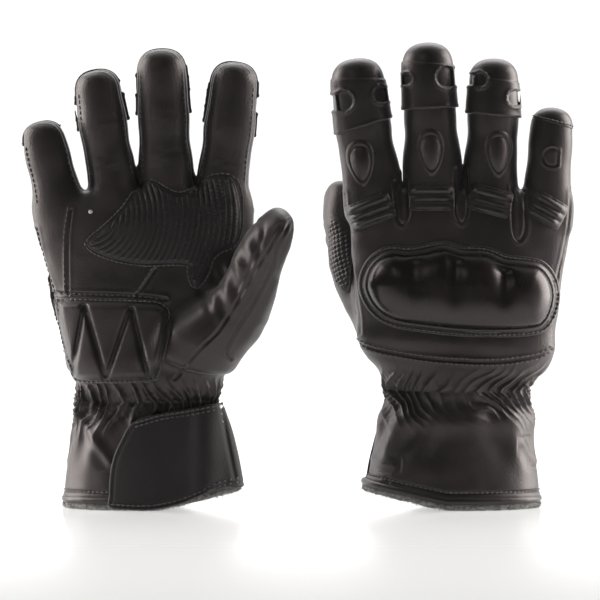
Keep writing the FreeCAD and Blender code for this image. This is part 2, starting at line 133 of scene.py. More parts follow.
SHELL_VALLEYS = ((22, 1.3), (0, 2.1), (-27.5, 2.9))  # x and depth of the dips between its knuckles
GRIP_OUTLINE = [(-35, 148), (-25, 158), (-15, 168), (-6, 181), (1, 183), (10, 178), (18, 176), (30, 184),
                (45, 185), (50.5, 165), (48, 149), (36, 142), (31, 130), (25.5, 124), (22, 130), (20, 137),
                (-4, 137), (-24, 141)]
HEEL_OUTLINE = [(-54, 117), (-48, 118.3), (-5, 117.5), (7, 116), (12.5, 109), (10.5, 94), (5.5, 75),
                (0, 71.5), (-22, 70.5), (-42, 70.5), (-46, 79), (-52, 99)]
HEEL_CHANNELS = [[(-37, 113), (-44, 75)], [(-36, 113), (-25, 74.5)], [(-11, 112), (-24, 74.5)],
                 [(-10, 112), (-1, 74)], [(11, 113), (5, 74)]]
FLAP_OUTLINE = [(-7, 50.5), (-16, 39), (-21, 26), (-22.5, 9), (-21, 2), (0, 1.2), (16, 4), (28, 8.5),
                (38, 13), (58, 16), (58, 62), (40, 59.5), (20, 56.5)]
FLAP_ROWS = [[(-7, 49.2), (6, 53), (20, 55), (36, 57.4)],
             [(-20, 4), (0, 3.6), (16, 6.5), (28, 11), (38, 15.5), (52, 18)]]
HUG = {"glove1": 0.4, "glove2": 3.2}  # how far the flap draws in to the cuff towards its side seam
FLAP_CREASE = [(38.5, 62), (41, 48), (44, 32), (47, 18)]
PLEATS = {"index": (46.5, 166, 22), "middle": (12, 174, 0), "ring": (-20.5, 172, -15),
          "little": (-52.5, 167, -30)}
DIM, BRIGHT = 0.06, 1.1  # the surround in front of the gloves and behind them
TAPE_PATCHES = {"loop": (-13, 16, 14, 46), "hook": (-14, 14, 15, 44)}
# The windows in the fingertip layers: place across as a share of the half width, place along, and size.
WINDOWS = {"index": ((0.62, 36, 5.4), (-0.8, 37, 4.4)), "middle": ((-0.68, 42, 5.8), (0.86, 42, 3)),
           "ring": ((-0.86, 32, 4.4), (0.55, 42, 3.8)), "little": ()}
# How much higher the layer's lower edge lies than the outer joint, and its slant.
ARMOUR_HEM = {"index": (-1.5, -0.18), "middle": (3, 0), "ring": (0, 0.08), "little": (11.5, 0.25)}
DOME_AT = 0.5  # along the finger from its knuckle hinge
STRIP = 1.7  # the width of the bar between a window and the gap beside it
DOMES = {"index": 4.0, "middle": 1.0, "ring": -3.0}  # each knuckle's dome, across from its finger's middle
HEM_STEPS, HEM_SIDES = 260, 14  # round the hem, and round its roll
FIBRES = 5200
STUD_SIDES = 16
GRIP_CENTRE, GRIP_ROW, GRIP_BLOCK = (-35, 165), 3.0, 1.7  # its rows curve about the centre
ARC = 36  # turns an angle round the glove into millimetres of its skin
VIEW_DISTANCE, VIEW_LEAN, VIEW_WIDTH = 2.4, 1.5, 0.336  # metres, degrees, and metres across at the gloves


# ---------------------------------------------------------------- small tools

def smooth_min(a, b, k):
    """The union of two distance fields, rounded where they meet."""
    h = np.clip(0.5 + 0.5 * (b - a) / k, 0, 1)
    return b * (1 - h) + a * h - k * h * (1 - h)


def smooth_max(a, b, k):
    return -smooth_min(-a, -b, k)


def step(low, high, value):
    t = np.clip((value - low) / (high - low), 0, 1)
    return t * t * (3 - 2 * t)


def bell(value, width):
    return np.exp(-(value / width) ** 2)


LATTICE = np.random.RandomState(7).rand(32, 32, 32).astype(np.float32)


def noise(x, y, z, size, shift=0.0):
    """Smooth noise from -1 to 1, with lumps of that size."""
    total = 0
    parts = []
    for value in (x, y, z):
        scaled = value / size + shift + 100
        whole = np.floor(scaled).astype(int)
        part = scaled - whole
        parts.append((whole, part * part * (3 - 2 * part)))
    for corner in range(8):
        weight, index = 1, []
        for axis in range(3):
            whole, part = parts[axis]
            up = corner >> axis & 1
            weight = weight * (part if up else 1 - part)
            index.append((whole + up) % 32)
        total = total + weight * LATTICE[tuple(np.broadcast_arrays(*index))]
    return 2 * total - 1


def curve(points, closed=False, pieces=8):
    """A smooth line through the points, as more points."""
    p = np.array(points, float)
    before = np.roll(p, 1, 0) if closed else np.vstack([p[:1], p[:-1]])
    after = np.roll(p, -1, 0) if closed else np.vstack([p[1:], p[-1:]])
    slope = (after - before) / 2
    spans = len(p) if closed else len(p) - 1
    made = []
    for i in range(spans):
        j = (i + 1) % len(p)
        for t in np.arange(pieces) / pieces:
            made.append((2 * t**3 - 3 * t**2 + 1) * p[i] + (t**3 - 2 * t**2 + t) * slope[i]
                        + (3 * t**2 - 2 * t**3) * p[j] + (t**3 - t**2) * slope[j])
    if not closed:
        made.append(p[-1])
    return np.array(made)


def even(line, pitch, closed=False):
    """Points along a line at an even pitch."""
    if closed:
        line = np.vstack([line, line[:1]])
    lengths = np.linalg.norm(np.diff(line, axis=0), axis=1)
    along = np.concatenate([[0], np.cumsum(lengths)])
    count = max(2, int(along[-1] / pitch) + 1)
    at = np.linspace(0, along[-1], count)
    return np.column_stack([np.interp(at, along, line[:, i]) for i in range(line.shape[1])])


def line_distance(u, v, line):
    """The distance in a plane from points to a line of points."""
    best = np.full(np.broadcast(u, v).shape, 1e9)
    for a, b in zip(line[:-1], line[1:]):
        d = b - a
        t = np.clip(((u - a[0]) * d[0] + (v - a[1]) * d[1]) / max(d @ d, 1e-9), 0, 1)
        best = np.minimum(best, (u - a[0] - t * d[0]) ** 2 + (v - a[1] - t * d[1]) ** 2)
    return np.sqrt(best)


def outline_distance(u, v, outline):
    """The same to a closed outline, negative inside it."""
    ring = np.vstack([outline, outline[:1]])
    inside = np.zeros(np.broadcast(u, v).shape, bool)
    for a, b in zip(ring[:-1], ring[1:]):
        crosses = (a[1] > v) != (b[1] > v)
        run = (b[0] - a[0]) * (v - a[1]) / (b[1] - a[1] if b[1] != a[1] else 1e-9) + a[0]
        inside ^= crosses & (u < run)
    distance = line_distance(u, v, ring)
    return np.where(inside, -distance, distance)


def grid_axes(low, high, cell):
    """Three arrays that broadcast to a block of points."""
    x, y, z = (np.arange(low[i], high[i] + cell, cell, dtype=np.float32) for i in range(3))
    return x[:, None, None], y[None, :, None], z[None, None, :]


def extract(field, low, cell):
    """The zero surface of a distance field, as points in millimetres and outward faces."""
    field = np.ascontiguousarray(field.astype(np.float32))
    for axis in range(3):  # closed at the block's own walls
        for end in (0, -1):
            wall = [slice(None)] * 3
            wall[axis] = end
            field[tuple(wall)] = np.maximum(field[tuple(wall)], cell / 2)
    grid = vdb.FloatGrid(float(field.max()))
    grid.copyFromArray(field)
    points, quads = grid.convertToQuads(0.0)
    points = np.array(points) * cell + np.array(low)
    a, b, c = (points[quads[:, i]] for i in range(3))
    volume = np.einsum("ij,ij->i", a, np.cross(b, c)).sum()
    return points, np.array(quads if volume > 0 else quads[:, ::-1])


# ---------------------------------------------------------------- the glove's form

class Tube:
    """A finger or the thumb: s runs along it from its knuckle hinge, y towards its back."""

    def __init__(self, glove, name, axis, along, hinge, middle):
        self.glove, self.name, self.middle = glove, name, middle
        along = along / np.linalg.norm(along)
        self.turn = np.column_stack([axis, np.cross(along, axis), along])
        tip = (glove.verts(f"{name}_tip") - hinge) @ self.turn
        low, high = tip.min(0), tip.max(0)
        across, wider, self.flare_side = FIT[glove.name].get(name, (0, 1, 0))
        self.rx, self.ry = (high[0] - low[0]) / 2 * wider, (high[1] - low[1]) / 2
        self.origin = hinge + self.turn[:, 1] * (low[1] + high[1]) / 2 + self.turn[:, 0] * across
        self.length = high[2]

    def coords(self, x, y, z):
        dx, dy, dz = x - self.origin[0], y - self.origin[1], z - self.origin[2]
        return [dx * self.turn[0, i] + dy * self.turn[1, i] + dz * self.turn[2, i] for i in range(3)]

    def point(self, q):
        return self.origin + np.asarray(q, float) @ self.turn.T

    def profile(self, s):
        """How wide the tube is along its length, as shares of its own sizes."""
        grown = 1 + 0.035 * bell(s - self.middle, 9) - 0.02 * bell(s - self.middle / 2, 7)
        return grown + 0.05 * step(-4, -26, s) - 0.05 * step(self.length - 26, self.length - 8, s)

    def distance(self, x, y, z):
        tx, ty, s = self.coords(x, y, z)
        share = self.profile(s)
        flare = FLARE[self.glove.name] * step(16, -8, s)
        tx = tx + self.flare_side * flare / 2 * self.rx
        rx, ry = self.rx * (share + flare * (1 - abs(self.flare_side) / 2)), self.ry * share
        return smooth_max(self.capped(tx, ty, s, rx, ry), -30 - s, 4)

    def capped(self, tx, ty, s, rx, ry):
        """Distance to an oval tube that ends in a blunt dome."""
        over = np.maximum(0, s - self.length + DOME_SHARE * self.rx)
        across, along = np.hypot(tx / rx, ty / ry), over / (DOME_SHARE * self.rx)
        k = (across ** BLUNT + along ** BLUNT) ** (1 / BLUNT) + 1e-3
        return np.clip(np.sqrt(tx**2 + ty**2 + over**2) * (1 - 1 / k), -20, 40)


class Thumb(Tube):
    ROOT = (3.6, 9.4, -7)  # wider by, deeper by, and shifted across the palm at the root

    def __init__(self, *args):
        super().__init__(*args)
        self.length += THUMB_LONGER[self.glove.name]

    def distance(self, x, y, z):
        tx, ty, s = self.coords(x, y, z)
        share = np.interp(s, THUMB_STATIONS, THUMB_SHARES)
        bow = np.interp(s, THUMB_STATIONS, THUMB_BOW[self.glove.name])
        taper = np.interp(s - THUMB_LONGER[self.glove.name], THUMB_STATIONS, THUMB_TAPER)
        rx = self.rx + self.ROOT[0] * share
        ry = (self.ry + self.ROOT[1] * share) * taper
        ty = ty - self.ROOT[2] * share - bow
        return smooth_max(smooth_max(self.capped(tx, ty, s, rx, ry), -66 - s, 6), 71 - z, 8)


class Glove:
    """One glove's frame, its form measured from the CAD nodes, and what is gathered for its pieces."""

    def __init__(self, name):
        self.name = name
        joints = {j["name"]: j for j in frame["joints"]}
        wrist = joints[f"{name}_wrist"]
        axis = np.array(wrist["axis"])
        self.turn = np.column_stack([axis, np.cross([0, 0, 1], axis), [0, 0, 1]])
        middle = np.array(wrist["pos_m"]) * 1000 - self.turn[:, 0] * WRIST_X
        self.middle = np.array([middle[0], middle[1], 0])
        self.wrist_z = wrist["pos_m"][2] * 1000
        self.measure_rings()
        self.tubes = {}
        for finger in FINGERS:
            knuckle, outer = joints[f"{name}_{finger}_knuckle"], joints[f"{name}_{finger}_middle_joint"]
            hinge, bend = self.local(knuckle["pos_m"]), self.local(outer["pos_m"])
            axis = self.turn.T @ np.array(knuckle["axis"])
            reach = np.linalg.norm(bend - hinge)
            self.tubes[finger] = Tube(self, finger, axis, bend - hinge, hinge, reach)
        knuckle = joints[f"{name}_thumb_knuckle"]
        axis = self.turn.T @ np.array(knuckle["axis"])
        along = np.array(THUMB_ALONG[name], float)
        self.tubes["thumb"] = Thumb(self, "thumb", axis, along, self.local(knuckle["pos_m"]), 0)
        self.threads = {}

    def local(self, point_m):
        return self.turn.T @ (np.array(point_m) * 1000 - self.middle)

    def world(self, points):
        return (np.asarray(points) @ self.turn.T + self.middle) / 1000

    def verts(self, node):
        mesh = frame["nodes"][f"{self.name}_{node}"].data
        co = np.zeros(len(mesh.vertices) * 3, np.float32)
        mesh.vertices.foreach_get("co", co)
        return (co.reshape(-1, 3) * 1000 - self.middle) @ self.turn

    def measure_rings(self):
        """Middle, half width and half depth of the CAD hand and cuff at a row of heights."""
        rows = []
        for height in (17, 24, 32, 40, 48, 54, 59, 71, 76, 82, 90, 98, 110, 125, 138, 150, 160, 168, 174):
            names = ("cuff_leather",) if height < 50 else ("wrist_gather",)
            names = names if height < 60 else ("palm_leather", "back_leather")
            found = np.vstack([self.slice(node, height) for node in names])
            low, high = found.min(0), found.max(0)
            rows.append((height, (low[0] + high[0]) / 2, (high[0] - low[0]) / 2, (high[1] - low[1]) / 2))
        rows = np.array(rows)
        base = rows[0] + (rows[0] - rows[2]) * (rows[0, 0] + 8) / (rows[2, 0] - rows[0, 0])
        rows = np.vstack([base, rows])
        heights = np.arange(-8, 186, 0.5)
        table = [np.interp(heights, rows[:, 0], rows[:, i]) for i in (1, 2, 3)]
        kernel = np.hanning(15) / np.hanning(15).sum()
        table = [np.convolve(np.pad(t, 7, "edge"), kernel, "valid") for t in table]
        edges = []
        for side, neck in zip((-1, 1), NECK[self.name]):
            above = heights - neck
            steeper = heights + 8 / 7 * above * bell(above, 12)
            edges.append(np.interp(steeper, heights, table[0] + side * table[1]))
        deep = np.interp(steeper, heights, table[2])
        edges[0] += SLIM[self.name] * step(58, 92, heights) * bell(np.maximum(heights - 88, 0), 47)
        self.rings = heights, [(edges[0] + edges[1]) / 2, (edges[1] - edges[0]) / 2, deep]

    def slice(self, node, height):
        mesh = frame["nodes"][f"{self.name}_{node}"].data
        edges = np.zeros(len(mesh.edges) * 2, np.int32)
        mesh.edges.foreach_get("vertices", edges)
        ends = self.verts(node)[edges.reshape(-1, 2)]
        a, b = ends[:, 0], ends[:, 1]
        crossing = (a[:, 2] - height) * (b[:, 2] - height) <= 0
        a, b = a[crossing], b[crossing]
        t = (height - a[:, 2]) / np.where(a[:, 2] == b[:, 2], 1e-9, b[:, 2] - a[:, 2])
        return (a + np.clip(t, 0, 1)[:, None] * (b - a))[:, :2]

    def ring(self, z):
        heights, table = self.rings
        return [np.interp(z, heights, t) for t in table]

    def hand_distance(self, x, y, z):
        cx, rx, ry = self.ring(z)
        power = 2 + 0.3 * step(76, 96, z)
        u, v = np.abs(x - cx) / rx + 1e-6, np.abs(y) / ry + 1e-6
        k = (u**power + v**power) ** (1 / power)
        slope = k ** (1 - power) * np.sqrt((u ** (power - 1) / rx) ** 2 + (v ** (power - 1) / ry) ** 2)
        return smooth_max(np.clip((k - 1) / slope, -22, 40), z - 177, 7)

    def distance(self, x, y, z):
        """The whole outer skin, without its small relief."""
        fingers = None
        for finger in FINGERS:
            d = self.tubes[finger].distance(x, y, z)
            fingers = d if fingers is None else np.minimum(fingers, d)
        d = smooth_min(self.hand_distance(x, y, z), fingers, WEB)
        return smooth_min(d, self.tubes["thumb"].distance(x, y, z), THUMB_WEB)

    def settle(self, points, gap=0.0):
        """Points moved onto the skin, and the outward directions there."""
        p = np.array(points, float)
        for _ in range(6):
            d, n = self.slope(p)
            p = p - n * (d - gap)[:, None]
        return p, self.slope(p)[1]

    def slope(self, p):
        d = self.distance(p[:, 0], p[:, 1], p[:, 2])
        n = np.zeros_like(p)
        for axis in range(3):
            moved = p.copy()
            moved[:, axis] += 0.4
            n[:, axis] = self.distance(moved[:, 0], moved[:, 1], moved[:, 2]) - d
        return d, n / np.maximum(np.linalg.norm(n, axis=1), 1e-6)[:, None]

    def zone(self, p):
        """Which stretch of the skin each point belongs to."""
        found = np.full(len(p), "hand", dtype="U16")
        found[p[:, 2] < WRIST_BLEND[1] + 1] = "wrist"
        found[p[:, 2] < WRIST_BLEND[0] - 2] = "cuff"
        nearest = np.full(len(p), 1e9)
        for name, tube in self.tubes.items():
            s = tube.coords(p[:, 0], p[:, 1], p[:, 2])[2]
            start, split = self.stretch(name)
            d = np.abs(tube.distance(p[:, 0], p[:, 1], p[:, 2]))
            mine = (s > start) & (d < nearest) & (d < 6) & (p[:, 2] > 90)
            nearest[mine] = d[mine]
            found[mine] = name if name == "thumb" else f"{name}_lower"
            if name != "thumb":
                found[mine & (s > split)] = f"{name}_upper"
        return found

    def stretch(self, name):
        """Where a tube's own stretch of skin starts, and where its lower and upper stretches part."""
        if name == "thumb":
            return -15, 0
        return (-8.2 if name == "little" else -9.8), self.tubes[name].middle / 2

    def attach(self, obj, zone):
        """Makes a piece of the cuff, the hand or the flap follow that body; a piece of any other zone is only
        baked in place.
        """
        if zone in ("cuff", "hand", "flap"):
            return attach(obj, f"{self.name}_{zone}")
        if zone == "wrist":
            ends = [(WRIST_X, 0, z) for z in WRIST_BLEND]
        elif zone == "thumb":
            ends = [self.tubes["thumb"].point((0, 0, s)) for s in (-14, 14)]
        else:
            name, part = zone.rsplit("_", 1)
            tube, (start, split) = self.tubes[name], self.stretch(name)
            reach = -start - 0.3 if part == "lower" else tube.middle - split - 1.5
            centre = 0 if part == "lower" else tube.middle
            ends = [tube.point((0, 0, centre + side * min(reach, split - 1))) for side in (-1, 1)]
        start, end = (Vector(p) for p in self.world(ends))
        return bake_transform(obj)

    # ---- relief of the skin

    def relief(self, p, n):
        """How far the skin stands out, for seams, folds, gathers and the softness of leather."""
        x, y, z = p.T
        back = step(-0.15, 0.25, n[:, 1])
        palm = 1 - back
        h = 0.5 * noise(x, y, z, 19) + 0.22 * noise(x, y, z, 8, 3.3)
        h += self.gathers(x, y, z, back)
        h += self.sewn(x, z, PALM_SEAMS, palm, 0.75, 0.8) + self.sewn(x, z, BACK_SEAMS, back, 0.75, 0.8)
        h -= self.sewn(x, z, PALM_FOLDS, palm, 1.0, 2.4) + self.sewn(x, z, BACK_FOLDS, back, 0.7, 2.0)
        h += 1.2 * step(-0.5, 0.1, n[:, 1]) * bell(z - 93.5 - 0.06 * x, 6)
        h += CUFF_PUFF[self.name] * bell(z - 50, 7)
        h += self.cuff_folds(x, y, z) + palm * self.web_folds(x, y, z)
        for tube in self.tubes.values():
            h += self.finger_relief(tube, x, y, z)
        return h

    def sewn(self, x, z, lines, share, depth, width):
        h = np.zeros_like(x)
        for points in lines:
            line = curve(points)
            low, high = line.min(0) - 5, line.max(0) + 5
            near = (x > low[0]) & (x < high[0]) & (z > low[1]) & (z < high[1]) & (share > 0.02)
            d = line_distance(x[near], z[near], line)
            h[near] += share[near] * depth * (0.45 * bell(d - 2 * width, 1.3 * width) - bell(d, width))
        return h

    def arc(self, x, y, z):
        cx, rx, ry = self.ring(z)
        return np.arctan2(y / ry, (x - cx) / rx) * ARC

    def gathers(self, x, y, z, back):
        """Pleats that bend inwards to the elastic and fan out again below it."""
        u = self.arc(x, y, z)
        middle = 60 + 6 * back
        away = np.abs(z - middle)
        side = np.tanh(u / 14)
        lean = np.where(z > middle, 0.55, 0.35 + 0.5 * back)
        wander = 0.9 * noise(x, y, z, 13, 1.7)
        phase = (u - side * lean * away) / 6.7 + wander
        height = 1 + 0.45 * noise(x, y, z, 6, 4.1)
        ridge = (1 - np.abs(np.sin(np.pi * phase))) ** 1.5 - 0.4
        cross = (1 - np.abs(np.sin(np.pi * ((u + side * away) / 8.3 - wander)))) ** 2 - 0.25
        plain = 1 - 0.8 * back * bell(x + 2, 20)
        spread = np.where(z > middle, 9, 12)
        height = height * (0.8 + 0.4 * np.abs(side))
        gathers = (2.7 * height * ridge + 0.45 * cross) * bell(away, spread)
        return plain * (gathers - 0.9 * bell(z - middle, 1.8))

    def web_folds(self, x, y, z):
        """Soft folds that run down the thumb's root from the web."""
        along = (x - 31) * 0.72 + (z - 130) * 0.69
        below = (x - 31) * 0.69 - (z - 130) * 0.72
        across = 0.95 * x + 0.3 * z + 1.8 * noise(x, y, z, 15, 6.2)
        share = step(-2, 6, below) * step(34, 12, below) * step(-18, -6, along) * step(40, 28, along)
        return 0.55 * share * np.sin(2 * np.pi * across / 9.5)

    def cuff_folds(self, x, y, z):
        u = self.arc(x, y, z)
        fade = step(60, 52, z)
        h = 0.9 * fade * step(16, 44, z) * np.sin(2 * np.pi * u / 21 + 2 * noise(x, y, z, 26))
        edge = z - hem_at(x) - HEM_HEIGHT
        return h + 0.5 * bell(edge - 1.6, 1.6) - 0.7 * bell(edge - 4.2, 0.7)

    def finger_relief(self, tube, x, y, z):
        tx, ty, s = tube.coords(x, y, z)
        start, _ = self.stretch(tube.name)
        h = np.zeros_like(x)
        near = (np.abs(tx) < tube.rx + 4) & (np.abs(ty) < tube.ry + 4) & (s > start - 8)
        tx, ty, s = tx[near], ty[near], s[near]
        palm = step(0, -0.6, ty / tube.ry)
        fade = step(start - 8, start + 4, s)
        seam = -0.36 * tube.ry
        edge = bell(ty - seam, 0.8)
        made = -0.4 * edge + 0.15 * bell(ty - seam + 1.6, 0.8)
        for place, lift in ((0, 0.8), (tube.middle, 0.7)):
            for offset, tilt in ((-4, 0.1), (-1.3, -0.12), (1.6, 0.16), (4.2, -0.06)):
                wave = s - place - offset - tilt * tx - 0.5 * np.sin(0.5 * tx + offset)
                made -= 0.1 * lift * palm * bell(wave, 1.1) * bell(tx, 0.8 * tube.rx)
        if tube.name == "little":
            d = stitched_d(tx, s, -0.05 * tube.rx, 10, 5, -1)
            made += step(0, 3, ty) * (0.4 * bell(d - 1.1, 0.7) - 0.5 * bell(d, 0.7))
        h[near] = fade * made
        return h


def stitched_d(across, along, place, centre, size, side):
    """Distance to a D whose straight edge lies towards that side, negative inside."""
    u, v = side * (across - place), along - centre
    return np.maximum(np.hypot(u, v) - size, u - 0.6 * size)


def hem_at(x):
    """The height of the hem's lower edge: flat, then rising to the thumb's side."""
    return np.maximum(0, HEM_SLOPE * (x - HEM_FLAT_TO))


# ---------------------------------------------------------------- meshes

def new_object(name, points, faces, material, glove, normals=None):
    mesh = bpy.data.meshes.new(name)
    mesh.from_pydata([tuple(p) for p in glove.world(points)], [], [tuple(map(int, f)) for f in faces])
    mesh.materials.append(material)
    mesh.shade_smooth()
    if normals is not None:
        mesh.normals_split_custom_set_from_vertices([tuple(v) for v in normals @ glove.turn.T])
    made = bpy.data.objects.new(name, mesh)
    bpy.context.scene.collection.objects.link(made)
    return made


def vertex_normals(points, quads):
    a, b = points[quads[:, 2]] - points[quads[:, 0]], points[quads[:, 3]] - points[quads[:, 1]]
    face = np.cross(a, b)
    total = np.zeros_like(points)
    for corner in range(4):
        np.add.at(total, quads[:, corner], face)
    return total / np.maximum(np.linalg.norm(total, axis=1), 1e-9)[:, None]


def subdivided(points, quads):
    """One smooth subdivision, by Blender's own modifier."""
    mesh = bpy.data.meshes.new("work")
    mesh.from_pydata(points.tolist(), [], quads.tolist())
    work = bpy.data.objects.new("work", mesh)
    bpy.context.scene.collection.objects.link(work)
    modifier = work.modifiers.new("smooth", "SUBSURF")
    modifier.levels = modifier.render_levels = 1
    done = bpy.data.meshes.new_from_object(work.evaluated_get(bpy.context.evaluated_depsgraph_get()))
    co, index = np.zeros(len(done.vertices) * 3), np.zeros(len(done.loops), np.int32)
    done.vertices.foreach_get("co", co)
    done.loops.foreach_get("vertex_index", index)
    bpy.data.objects.remove(work)
    return co.reshape(-1, 3), index.reshape(-1, 4)


def picked(points, quads, keep, *more):
    """Only the kept faces, with their own points."""
    quads = quads[keep]
    used, inverse = np.unique(quads, return_inverse=True)
    return points[used], inverse.reshape(-1, 4), *(m[used] for m in more)


def build_skin(glove):
    low, high = (-72, -66, 2), (92, 34, 262)
    axes = grid_axes(low, high, SKIN_CELL)
    points, quads = extract(glove.distance(*axes), low, SKIN_CELL)
    points, quads = subdivided(points, quads)
    normals = vertex_normals(points, quads)
    points = points + normals * glove.relief(points, normals)[:, None]
    normals = vertex_normals(points, quads)
    middle = points[quads].mean(1)
    keep = middle[:, 2] > hem_at(middle[:, 0]) + HEM_HEIGHT - 1.2
    keep &= (middle[:, 2] > 9) | (normals[quads[:, 0], 2] > -0.9)
    zones = glove.zone(middle)
    for zone in sorted(set(zones)):
        p, f, n = picked(points, quads, keep & (zones == zone), normals)
        skin = new_object(f"{glove.name}_skin_{zone}", p, f, LEATHER, glove, n)
        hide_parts(*(f"{glove.name}_{node}" for node in stands_for(zone)))
        glove.attach(skin, zone)


def stands_for(zone):
    if zone in ("cuff", "wrist", "hand", "thumb"):
        return {"cuff": ["cuff_leather"], "wrist": ["wrist_gather"], "thumb": ["thumb_tip"],
                "hand": ["palm_leather", "back_leather", "thumb_base"]}[zone]
    name, part = zone.rsplit("_", 1)
    return [f"{name}_base"] if part == "lower" else [f"{name}_tip"]


def build_part(glove, name, field, low, cell, material, zone, nodes=()):
    points, quads = extract(field, low, cell)
    made = new_object(f"{glove.name}_{name}", points, quads, material, glove)
    if nodes:
        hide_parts(*(f"{glove.name}_{node}" for node in nodes))
    glove.attach(made, zone)
    return made


def panel(glove, name, outline, side, thick, material, nodes=(), zone="hand", inner=None,
          round_by=1.0, cell=PART_CELL, depth=0.7, lumps=0.12):
    """A piece on the palm (side -1) or the back (side 1), inside an outline, of a thickness that may vary."""
    ring = curve(outline, closed=True)
    edge = ring.min(0) - 3, ring.max(0) + 3
    near = np.array(sorted([0, side * 42]), float)
    low, high = (edge[0][0], near[0], edge[0][1]), (edge[1][0], near[1], edge[1][1])
    x, y, z = grid_axes(low, high, cell)
    flat = outline_distance(x[:, :, 0], z[0], ring)[:, None, :]
    skin = glove.distance(x, y, z)
    height = thick(x, z, flat) if callable(thick) else thick
    field = smooth_max(skin - height - lumps * noise(x, y, z, 9), flat, round_by)
    field = np.maximum(field, -depth - skin if inner is None else inner(x, z, flat) - skin)
    field = np.maximum(field, 1.5 - side * y)
    return build_part(glove, name, field, low, cell, material, zone, nodes)


# ---------------------------------------------------------------- stitching

def thread(glove, points, normals, zones=None, length=2.3, radius=0.34):
    """Sewing stitches at the points of a line, each along it, kept for the zone that it lies in."""
    along = np.gradient(points, axis=0)
    along /= np.maximum(np.linalg.norm(along, axis=1), 1e-6)[:, None]
    zones = glove.zone(points) if zones is None else np.array([zones] * len(points))
    for p, n, t, zone in zip(points, normals, along, zones):
        glove.threads.setdefault(str(zone), []).append((p, n, t, length, radius))


def sew_plane(glove, line, side, pitch=3.0, lift=0.25, closed=False, zone=None):
    """Stitches along a line in x, z, on the palm or the back."""
    at = even(np.array(line), pitch, closed)
    cx, rx, ry = glove.ring(at[:, 1])
    bulge = np.sqrt(np.clip(1 - ((at[:, 0] - cx) / (rx + 2)) ** 2, 0.02, 1))
    start = np.column_stack([at[:, 0], side * (ry * bulge + 1), at[:, 1]])
    p, n = glove.settle(start)
    p = p + n * (glove.relief(p, n) + lift)[:, None]
    thread(glove, p, n, zone)


def build_threads(glove):
    """All the stitches of each zone, as one piece of small rounded pegs."""
    turns = np.linspace(0, 2 * np.pi, 6, endpoint=False)
    shape = [(-0.5, 0.25), (-0.38, 0.9), (0, 1.1), (0.38, 0.9), (0.5, 0.25)]
    faces = []
    for ring in range(len(shape) - 1):
        for k in range(6):
            a, b = ring * 6 + k, ring * 6 + (k + 1) % 6
            faces.append((a, b, b + 6, a + 6))
    last = (len(shape) - 1) * 6
    caps = [(5, 4, 3, 2), (5, 2, 1, 0), (last, last + 1, last + 2, last + 3),
            (last, last + 3, last + 4, last + 5)]
    faces = np.array(faces + caps)
    for zone, pegs in glove.threads.items():
        points, quads = [], []
        for p, n, t, length, radius in pegs:
            across = np.cross(n, t)
            across /= max(np.linalg.norm(across), 1e-6)
            for share, size in shape:
                for angle in turns:
                    ring = across * math.cos(angle) + n * math.sin(angle)
                    points.append(p + t * share * length + ring * size * radius)
            quads.append(faces + len(quads) * 6 * len(shape))
        made = new_object(f"{glove.name}_stitches_{zone}", np.array(points), np.vstack(quads), THREAD, glove)
        glove.attach(made, zone)


# ---------------------------------------------------------------- pieces

def build_knuckle_guard(glove):
    def top(x, z, flat):
        height = 1.6 + 9.4 * np.sqrt(1 - (1 - np.clip(-flat / 17, 0, 1)) ** 2)
        for valley, depth in SHELL_VALLEYS:
            height = height - depth * bell(x - valley, 4.6) * step(104, 132, z) * step(-1, -6, flat)
        return height

    panel(glove, "knuckle_shell", SHELL_OUTLINE, 1, top, SHELL, ["knuckle_shell"],
          inner=lambda x, z, flat: np.maximum(top(x, z, flat) - 2.4, -0.5), round_by=2.2, lumps=0)
    ring = curve(SHELL_OUTLINE, closed=True)
    inset = grown(ring, -3.4)
    panel(glove, "knuckle_foam", inset, 1, lambda x, z, flat: top(x, z, flat - 3.4) - 2.9, FOAM,
          ["knuckle_foam"], lumps=0)
    flange = grown(ring, 4.6)

    def roll(_x, _z, flat):
        return 1.5 + 1.5 * bell(flat + 4.4, 1.3) - 0.5 * bell(flat + 2.1, 0.7)

    panel(glove, "knuckle_flange", flange, 1, roll, LEATHER_SMOOTH, round_by=0.9)
    for offset in (1.3, 3.1):
        sew_plane(glove, grown(ring, offset), 1, 2.6, 1.55, closed=True)


def grown(ring, distance):
    """A closed outline moved outwards."""
    along = np.roll(ring, -1, 0) - np.roll(ring, 1, 0)
    out = np.column_stack([along[:, 1], -along[:, 0]])
    out /= np.maximum(np.linalg.norm(out, axis=1), 1e-6)[:, None]
    area = np.sum(ring[:, 0] * np.roll(ring[:, 1], -1) - ring[:, 1] * np.roll(ring[:, 0], -1))
    moved = ring + out * distance * (1 if area > 0 else -1)
    return even(moved, 4, closed=True)[:-1]


def build_heel_pad(glove):
    channels = [curve(c) for c in HEEL_CHANNELS]

    def quilt(x, z, flat):
        puff = 1.4 + 3.4 * step(0, -6, flat)
        for line in channels:
            d = line_distance(x[:, :, 0], z[0], line)[:, None, :]
            puff = puff - 2.4 * bell(d, 1.5) * step(0, -6, flat)
        return puff - 0.6 * bell(flat + 2.2, 0.8)

    panel(glove, "palm_heel_pad", HEEL_OUTLINE, -1, quilt, LEATHER, ["palm_heel_pad"],
          round_by=1.4)
    ring = curve(HEEL_OUTLINE, closed=True)
    for offset in (-1.1, -3.2):
        sew_plane(glove, grown(ring, offset), -1, 2.7, 1.9, closed=True)


